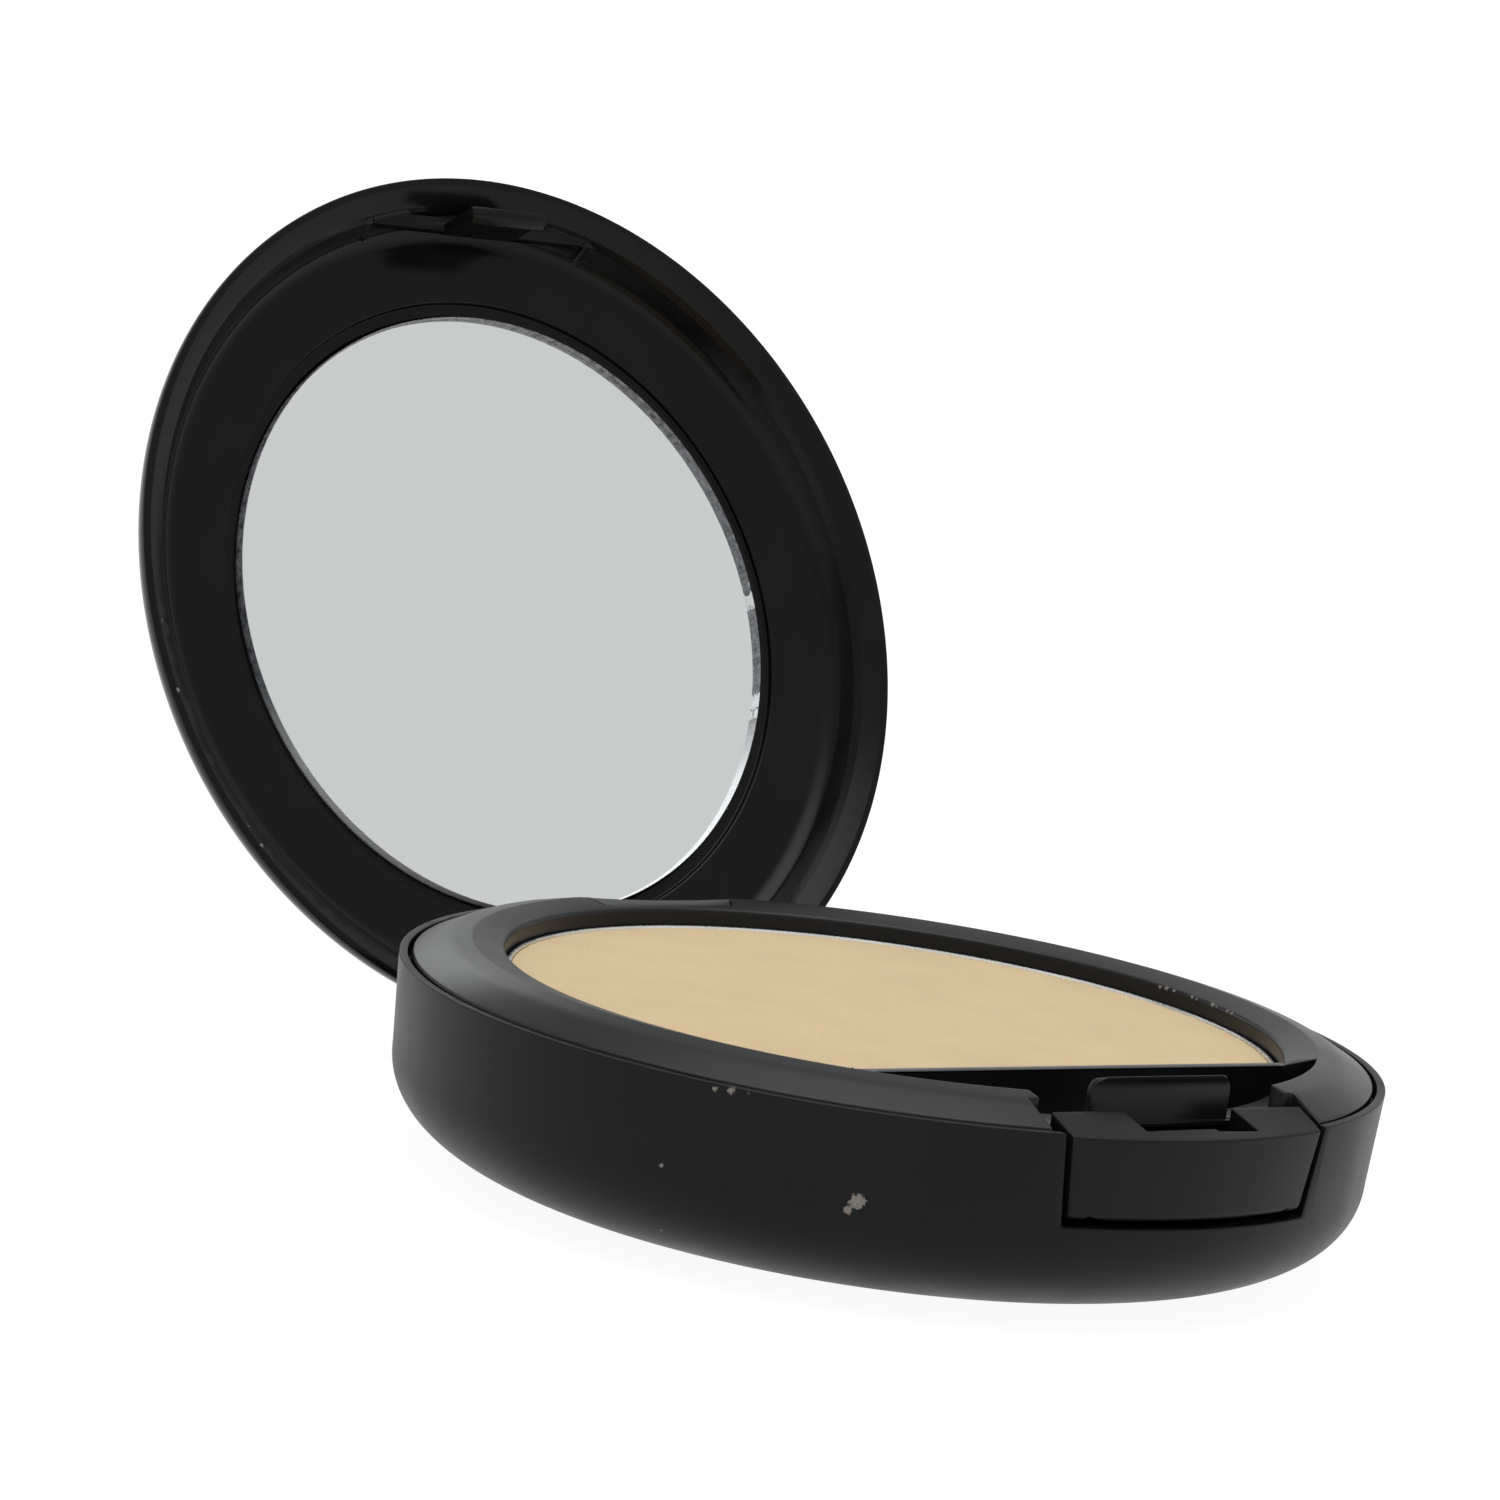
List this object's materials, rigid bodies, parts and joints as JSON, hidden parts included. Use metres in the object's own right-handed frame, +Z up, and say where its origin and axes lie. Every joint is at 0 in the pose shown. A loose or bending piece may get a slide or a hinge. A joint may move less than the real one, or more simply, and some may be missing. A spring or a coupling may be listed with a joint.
{
  "type": "powder compact",
  "caption": "Round hinged powder compact: black base with a D-shaped powder well, push-button latch and a domed lid holding a round mirror.",
  "frame": {"origin": "centre of the flat underside of the base", "axes": "+Z up from the underside, -Y towards the push button, +Y towards the lid hinge, X along the hinge axis"},
  "size_m": [0.08, 0.1181, 0.0749],
  "materials": {
    "black_plastic": "satin moulded black",
    "powder": "matt pressed powder",
    "pan_metal": "pressed sheet",
    "pin_steel": "drawn wire",
    "mirror_glass": "silvered glass",
    "sponge_foam": "fine foam",
    "adhesive": "soft glue and tape"
  },
  "bodies": {
    "base": {"base_shell": "black_plastic", "sponge_pad": "sponge_foam", "powder_tray": "black_plastic", "powder_pan": "pan_metal", "pan_adhesive": "adhesive", "pressed_powder": "powder", "latch_spring_left": "pin_steel", "latch_spring_right": "pin_steel", "hinge_pin_left": "pin_steel", "hinge_pin_right": "pin_steel"},
    "lid": {"lid_shell": "black_plastic", "lid_mirror": "mirror_glass", "mirror_adhesive": "adhesive"},
    "push_button": {"latch_button": "black_plastic"}
  },
  "joints": [
    {"name": "lid_hinge", "type": "hinge", "parent": "base", "child": "lid", "pos_m": [0, 0.0364, 0.0093], "axis": [1, 0, 0], "range_deg": [0, 115.8]},
    {"name": "button_press", "type": "slide", "parent": "base", "child": "push_button", "axis": [0, 1, 0], "range_m": [0, 0.001], "stiffness_N_per_m": 500, "springref_m": -0.001, "deforming": ["latch_spring_left", "latch_spring_right"]}
  ]
}
